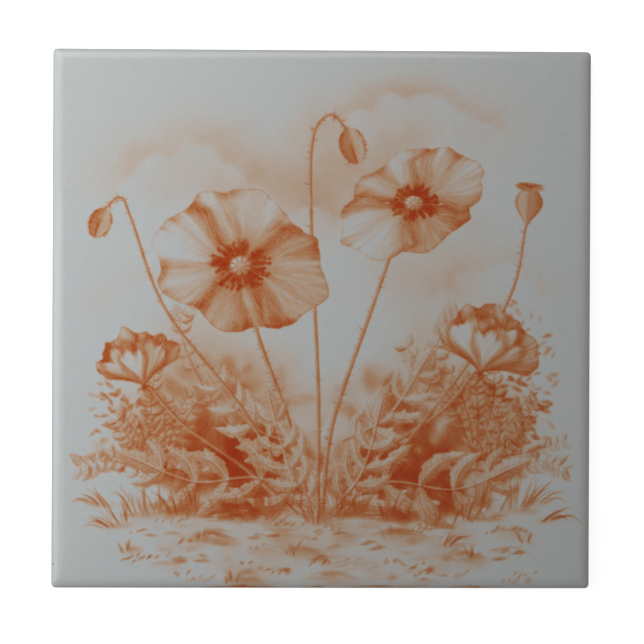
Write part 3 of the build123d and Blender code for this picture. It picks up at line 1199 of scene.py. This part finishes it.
class Recipe:
    """A material's nodes, added from the pattern to the shader."""

    def __init__(self, tree):
        self.tree = tree
        tree.nodes.clear()

    def add(self, kind, inputs, output=0, **settings):
        """Adds a node and returns one of its outputs, if it has any.

        Each input is a value or another node's output.
        """
        node = self.tree.nodes.new(kind)
        for name, value in settings.items():
            setattr(node, name, value)
        for socket, value in inputs.items():
            if isinstance(value, NodeSocket):
                self.tree.links.new(value, node.inputs[socket])
            else:
                node.inputs[socket].default_value = value
        return node.outputs[output] if node.outputs else None

    def math(self, operation, a, b=0.0, c=0.0):
        """One sum on up to three numbers."""
        return self.add("ShaderNodeMath", {0: a, 1: b, 2: c}, operation=operation)

    def times(self, a, b):
        """One number times another."""
        return self.math("MULTIPLY", a, b)

    def plus(self, a, b):
        """One number and another together."""
        return self.math("ADD", a, b)

    def millimetres(self):
        """The place on the piece, in millimetres."""
        place = self.add("ShaderNodeTexCoord", {}, output="Object")
        return self.add("ShaderNodeVectorMath", {0: place, "Scale": 1 / MM}, operation="SCALE")

    def parts(self, vector):
        """The three numbers of a place."""
        node = self.tree.nodes.new("ShaderNodeSeparateXYZ")
        self.tree.links.new(vector, node.inputs[0])
        return node.outputs

    def grey(self, value):
        """A grey as bright as the value."""
        return self.add("ShaderNodeCombineColor", {0: value, 1: value, 2: value})

    def cloud(self, place, bumps, detail=2.0, low=-1.0, high=1.0):
        """Soft noise from low to high, with so many bumps to a millimetre."""
        noise_here = self.add("ShaderNodeTexNoise", {"Vector": place, "Scale": bumps, "Detail": detail})
        return self.between(noise_here, 0.25, 0.75, low, high)

    def between(self, value, from_low, from_high, low=0.0, high=1.0, smooth=False):
        """Carries a value from one range over to another."""
        kind = "SMOOTHSTEP" if smooth else "LINEAR"
        inputs = {"Value": value, "From Min": from_low, "From Max": from_high, "To Min": low, "To Max": high}
        return self.add("ShaderNodeMapRange", inputs, interpolation_type=kind)

    def specks(self, place, pitch, size, share):
        """1 inside small round spots that lie about a pitch apart, for a share of the places."""
        at = {"Vector": place, "Scale": 1 / pitch}
        gap = self.add("ShaderNodeTexVoronoi", at, output="Distance")
        own_colour = self.add("ShaderNodeTexVoronoi", at, output="Color")
        luck = self.add("ShaderNodeSeparateColor", {"Color": own_colour})
        spot = self.between(gap, size / pitch, 0.5 * size / pitch, smooth=True)
        return self.times(spot, self.math("LESS_THAN", luck, share))

    def mix(self, share, a, b):
        """Mixes two numbers."""
        return self.add("ShaderNodeMix", {"Factor": share, 2: a, 3: b})

    def blend(self, share, a, b, kind="MIX"):
        """Mixes two colours."""
        return self.add("ShaderNodeMix", {"Factor": share, 6: a, 7: b}, output=2,
                        data_type="RGBA", blend_type=kind)

    def finish(self, colour, roughness, height, reach, glow=0.0):
        """The shader itself. Reach is the depth in metres that a height of 1 stands for."""
        bump = self.add("ShaderNodeBump", {"Height": height, "Distance": reach})
        shader = self.add("ShaderNodeBsdfPrincipled", {
            "Base Color": colour, "Roughness": roughness, "Normal": bump, "IOR": 1.5,
            "Emission Color": (1, 1, 1, 1), "Emission Strength": glow})
        self.add("ShaderNodeOutputMaterial", {"Surface": shader})


def opaque(colour, shades=(1.0, 1.0, 1.0)):
    """A colour with its fourth number, as a node's socket takes it. Shades scale its three parts."""
    return (*(part * shade for part, shade in zip(colour, shades)), 1.0)


def new_material(name):
    """An empty material, with the recipe that fills it."""
    material = bpy.data.materials.new(name)
    material.use_nodes = True
    return material, Recipe(material.node_tree)


def biscuit_colour(recipe, place, look):
    """White-firing clay: buff clouds, grains, specks, dust in the cells and scuffs on the ribs."""
    buff = opaque(look.biscuit, (0.92, 0.86, 0.76))
    colour = recipe.blend(recipe.cloud(place, 0.06, 4.0, 0.0, 1.0), opaque(look.biscuit), buff)
    colour = recipe.blend(1.0, colour, recipe.grey(recipe.cloud(place, 3.0, 3.0, 0.86, 1.10)), "MULTIPLY")
    # Dark grains, pale grains and rusty specks: pitch, size, share, strength and colour
    for pitch, size, share, strength, shade in (
            (2.4, 0.20, 0.40, 0.60, (0.22, 0.16, 0.11, 1)), (1.7, 0.34, 0.35, 0.35, (0.86, 0.82, 0.74, 1)),
            (9.0, 0.70, 0.22, 0.55, (0.42, 0.25, 0.13, 1))):
        spots = recipe.specks(place, pitch, size, share)
        colour = recipe.blend(recipe.times(spots, strength), colour, shade)

    # Dust settles in the cells, and handling scuffs the ribs
    height = recipe.parts(place)["Z"]
    sunk = recipe.times(recipe.between(height, 0.2, 0.9), recipe.between(height, 1.5, 0.95))
    dust = recipe.times(sunk, recipe.cloud(place, 0.22, 5.0, 0.0, 0.50))
    colour = recipe.blend(dust, colour, (0.34, 0.29, 0.23, 1))
    drawn = recipe.add("ShaderNodeVectorMath", {0: place, 1: (0.16, 0.80, 1.0)}, operation="MULTIPLY")
    scuffs = recipe.between(recipe.cloud(drawn, 1.0, 5.0), 0.20, 0.70)
    rubbed = recipe.times(recipe.between(height, 0.15, 0.02, 0.0, 0.16), scuffs)
    return recipe.blend(rubbed, colour, (0.36, 0.35, 0.34, 1))


def splash_cover(recipe, place):
    """1 on the few splashes of glaze that ran round onto the rim of the back."""
    across, up, _ = recipe.parts(recipe.add("ShaderNodeVectorMath", {0: place}, operation="ABSOLUTE"))
    near = recipe.between(recipe.math("MAXIMUM", across, up), 69.0, 75.5)
    blobs = recipe.plus(recipe.cloud(place, 0.22, 1.5), near)
    return recipe.between(blobs, 1.46, 1.56, smooth=True)


def biscuit_material(look):
    """The bare back and the sides below the glaze."""
    material, recipe = new_material("biscuit")
    place = recipe.millimetres()
    splash = splash_cover(recipe, place)
    clay = biscuit_colour(recipe, place, look)
    colour = recipe.blend(recipe.times(splash, 0.9), clay, opaque(look.glaze))
    low, high = look.biscuit_roughness - 0.07, look.biscuit_roughness + 0.07
    roughness = recipe.mix(splash, recipe.cloud(place, 0.8, 2.0, low, high), look.roughness + 0.10)
    grain = recipe.cloud(place, 5.0, 3.0)
    press = recipe.cloud(place, 0.35, 2.0, -1.5, 1.5)
    pits = recipe.times(recipe.specks(place, 2.1, 0.45, 0.30), -5.0)
    rough = recipe.plus(recipe.plus(grain, press), pits)
    splash_height = 9.0
    height = recipe.mix(splash, rough, splash_height)
    recipe.finish(colour, roughness, height, 0.010 * MM)
    return material


def milk_colour(recipe, place, look):
    """The white glaze: faintly clouded warm and cool, with soft grey smudges and a few pinholes."""
    cool = opaque(look.glaze, (0.965, 0.985, 1.0))
    warm = opaque(look.glaze, (1.0, 0.985, 0.965))
    milk = recipe.blend(recipe.cloud(place, 0.05, 4.0, 0.0, 1.0), opaque(look.glaze), cool)
    milk = recipe.blend(recipe.cloud(place, 0.16, 3.0, 0.0, 0.7), milk, warm)
    dust = recipe.cloud(place, 0.9, 3.0, 0.975, 1.02)
    milk = recipe.blend(1.0, milk, recipe.grey(dust), "MULTIPLY")
    for pitch, size, share, strength in ((6.1, 1.2, 0.34, 0.045), (3.7, 0.7, 0.30, 0.04)):
        smudges = recipe.specks(place, pitch, size, share)
        milk = recipe.blend(recipe.times(smudges, strength), milk, (0.20, 0.19, 0.17, 1))
    pinholes = recipe.specks(place, 8.5, 0.36, 0.34)
    return recipe.blend(recipe.times(pinholes, 0.55), milk, (0.16, 0.14, 0.11, 1))


def pigment_colour(recipe, place, look):
    """The light that the pigment lets through, uneven along the brush's hairs and in its own grain."""
    tone = recipe.add("ShaderNodeAttribute", {}, output="Fac", attribute_name="tone")
    brush = recipe.add("ShaderNodeAttribute", {}, output="Vector", attribute_name="brush")
    along, across, streak = recipe.parts(brush)
    pulled = recipe.add("ShaderNodeCombineXYZ", {
        0: recipe.times(along, 0.22), 1: recipe.times(across, 3.2), 2: 0.0})
    hair = recipe.times(recipe.cloud(pulled, 1.0, 2.0, -look.hairs, look.hairs), streak)
    grain = recipe.cloud(place, 2.6, 3.0, -look.grain, look.grain)
    pooled = recipe.cloud(place, 0.28, 3.0, -0.12, 0.12)
    uneven = recipe.plus(recipe.plus(hair, grain), recipe.plus(pooled, 1.0))
    tone = recipe.times(tone, recipe.math("MAXIMUM", uneven, 0.0))

    # Pigment takes up each part of the light by its own power of the depth
    kept = [recipe.math("POWER", exp(-strength), tone) for strength in look.absorption]
    # Even a thin film of iron-red scatters back more red than the milky glaze does
    kept[0] = recipe.times(kept[0], recipe.between(tone, 0.0, 0.12, 1.0, 1.06))
    return recipe.add("ShaderNodeCombineColor", dict(enumerate(kept)))


def glaze_material(look):
    """Clear gloss glaze over the picture, which ends in an uneven line on the upright land."""
    material, recipe = new_material("painted_glaze")
    place = recipe.millimetres()
    milk = milk_colour(recipe, place, look)
    colour = recipe.blend(1.0, milk, pigment_colour(recipe, place, look), "MULTIPLY")

    # The glaze thins towards its foot, where it ends in a rounded bead, and below that is bare clay
    clay = biscuit_colour(recipe, place, look)
    foot_height = look.glaze_foot / MM
    foot = recipe.cloud(place, 0.18, 3.0, foot_height - 0.45, foot_height + 0.35)
    above = recipe.math("SUBTRACT", recipe.parts(place)["Z"], foot)
    cover = recipe.between(above, -0.06, 0.06, smooth=True)
    colour = recipe.blend(recipe.between(above, 0.0, 1.1, 0.50, 0.0), colour, clay)
    colour = recipe.blend(cover, clay, colour)
    smooth = recipe.cloud(place, 0.4, 4.0, look.roughness - 0.03, look.roughness + 0.04)
    roughness = recipe.mix(cover, look.biscuit_roughness, smooth)
    fine = recipe.cloud(place, 1.4, 2.0, -0.25, 0.25)
    ripple = recipe.math("MULTIPLY_ADD", recipe.cloud(place, 0.30, 2.0), 2.0, fine)
    bead_height = 40.0
    bead = recipe.plus(ripple, recipe.between(above, -0.1, 0.35, 0.0, bead_height, smooth=True))
    bare_grain = recipe.cloud(place, 5.0, 3.0, -6.0, 6.0)
    relief = recipe.mix(cover, bare_grain, bead)
    recipe.finish(colour, roughness, relief, 0.0015 * MM)
    return material


def floor_material(look):
    """A pale matt table top, faintly clouded, with a painted contact shadow close under the tile."""
    material, recipe = new_material("pale_floor")
    place = recipe.millimetres()
    dimmer = opaque(look.floor, (0.985, 0.985, 0.985))
    colour = recipe.blend(recipe.cloud(place, 0.004, 3.0, 0.0, 1.0), opaque(look.floor), dimmer)
    roughness = recipe.cloud(place, 0.02, 2.0, 0.75, 0.85)
    # Painted contact shadow: the floor's own glow is dimmed where the tile stands close over it
    painted_shadow_openness = recipe.add("ShaderNodeAmbientOcclusion", {"Distance": 1.3 * MM}, output="AO", samples=8)
    glow = recipe.times(recipe.math("POWER", painted_shadow_openness, 1.2), look.floor_glow)
    recipe.finish(colour, roughness, recipe.cloud(place, 0.5, 2.0), 0.01 * MM, glow)
    return material


# Studio

def add_floor(look):
    """A level floor under the tile, out to where no view sees its rim."""
    half = look.floor_side / 2
    data = bpy.data.meshes.new("floor")
    corners = [(-half, -half, 0), (half, -half, 0), (half, half, 0), (-half, half, 0)]
    data.from_pydata(corners, [], [(0, 1, 2, 3)])
    floor = bpy.data.objects.new("floor", data)
    floor.location.z = TILE_LOW[2] - 0.02 * MM
    data.materials.append(floor_material(look))
    floor.visible_glossy = False
    floor.visible_diffuse = False
    bpy.context.scene.collection.objects.link(floor)


COOL_LIGHT = (0.955, 1.0, 1.05)
WARM_LIGHT = (1.0, 1.0, 0.975)
# Soft panels about the table: name, azimuth from +X and elevation in degrees, distance, width and
# height in metres, colour, and how bright they look
PANELS = (
    ("upper_panel", 112.4, 42.7, 0.287, 0.325, 0.127, WARM_LIGHT, 1.56),
    ("near_left_panel", 190.5, 46.0, 0.240, 0.144, 0.164, COOL_LIGHT, 1.05),
    ("broad_left_panel", 162.7, 37.3, 0.280, 0.459, 0.199, COOL_LIGHT, 1.19),
    ("low_right_panel", -1.6, 12.7, 1.005, 0.306, 0.130, WARM_LIGHT, 1.18),
)


def add_panel_light(name, azimuth, elevation, distance, width, height, colour, brightness):
    """A soft panel that faces the tile. The camera doesn't see it."""
    data = bpy.data.lights.new(name, "AREA")
    data.shape = "RECTANGLE"
    data.size = width
    data.size_y = height
    data.energy = pi * width * height * brightness
    data.color = colour
    light = bpy.data.objects.new(name, data)
    azimuth, elevation = radians(azimuth), radians(elevation)
    way = Vector((cos(azimuth) * cos(elevation), sin(azimuth) * cos(elevation), sin(elevation)))
    turn = way.to_track_quat("Z", "Y").to_matrix().to_4x4()
    light.matrix_world = Matrix.Translation(way * distance) @ turn
    light.visible_camera = False
    bpy.context.scene.collection.objects.link(light)


def add_room_light(look):
    """A dim even room, which is seen as plain white behind the floor."""
    world = bpy.data.worlds.new("room")
    world.use_nodes = True
    bpy.context.scene.world = world
    recipe = Recipe(world.node_tree)
    seen = recipe.add("ShaderNodeLightPath", {}, output="Is Camera Ray")
    dim = recipe.add("ShaderNodeBackground", {"Color": opaque(WARM_LIGHT), "Strength": look.surround})
    white = recipe.add("ShaderNodeBackground", {"Color": (1, 1, 1, 1), "Strength": 1.0})
    both = recipe.add("ShaderNodeMixShader", {0: seen, 1: dim, 2: white})
    recipe.add("ShaderNodeOutputWorld", {"Surface": both})


def add_camera(look):
    """The camera, straight above the tile, a little turned and rolled as in the photograph."""
    data = bpy.data.cameras.new("camera")
    data.sensor_fit = "HORIZONTAL"
    data.lens = data.sensor_width / 2 / tan(look.half_view)
    turn = Matrix.Rotation(look.camera_yaw, 4, "Y")
    turn = turn @ Matrix.Rotation(look.camera_pitch, 4, "X")
    turn = turn @ Matrix.Rotation(look.camera_roll, 4, "Z")
    camera = bpy.data.objects.new("camera", data)
    back = turn.to_3x3() @ Vector((0, 0, look.camera_distance))
    camera.matrix_world = Matrix.Translation(Vector(look.aim) + back) @ turn
    bpy.context.scene.collection.objects.link(camera)
    bpy.context.scene.camera = camera


# Operators and panel

class BuildTile(Operator):
    """Build the tile: its glazed and painted face, bare sides and keyed back"""

    bl_idname = "mesh.painted_tile_add"
    bl_label = "Tile"

    def execute(self, context):
        settings = context.scene.painted_tile
        tile = tile_object("painted_tile", settings.sizes)
        tile.data.materials.append(glaze_material(settings.glaze))
        tile.data.materials.append(biscuit_material(settings.glaze))
        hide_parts("tile")
        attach(tile, "root")
        return {"FINISHED"}


class BuildStudio(Operator):
    """Set up the pale floor, the soft panels, the dim room and the camera"""

    bl_idname = "scene.tile_studio_add"
    bl_label = "Studio"

    def execute(self, context):
        look = context.scene.painted_tile.studio
        add_floor(look)
        for *place, brightness in PANELS:
            add_panel_light(*place, look.panel_light * brightness)
        add_room_light(look)
        add_camera(look)
        context.scene.view_settings.view_transform = "Standard"
        return {"FINISHED"}


class TilePanel(Panel):
    """Lists what can be built, with the settings of each"""

    bl_idname = "VIEW3D_PT_painted_tile"
    bl_label = "Painted tile"
    bl_space_type = "VIEW_3D"
    bl_region_type = "UI"
    bl_category = "Tile"

    def draw(self, context):
        settings = context.scene.painted_tile
        tile_groups = (settings.sizes, settings.glaze)
        for operator, groups in ((BuildTile, tile_groups), (BuildStudio, (settings.studio,))):
            self.layout.operator(operator.bl_idname)
            for group in groups:
                box = self.layout.box()
                for name in group.__annotations__:
                    box.prop(group, name)


class TileSettings(PropertyGroup):
    """All settings, kept on the scene."""

    sizes: PointerProperty(type=TileSizes)
    glaze: PointerProperty(type=GlazeLook)
    studio: PointerProperty(type=StudioLook)


CLASSES = (TileSizes, GlazeLook, StudioLook, TileSettings, BuildTile, BuildStudio, TilePanel)


def register():
    """Adds the classes, and the settings on the scene."""
    for each in CLASSES:
        bpy.utils.register_class(each)
    bpy.types.Scene.painted_tile = PointerProperty(type=TileSettings)


def unregister():
    """Takes the settings and the classes off again."""
    del bpy.types.Scene.painted_tile
    for each in reversed(CLASSES):
        bpy.utils.unregister_class(each)


def main():
    """Builds the tile and its studio."""
    register()
    bpy.ops.mesh.painted_tile_add()
    bpy.ops.scene.tile_studio_add()


if __name__ == "__main__":
    main()
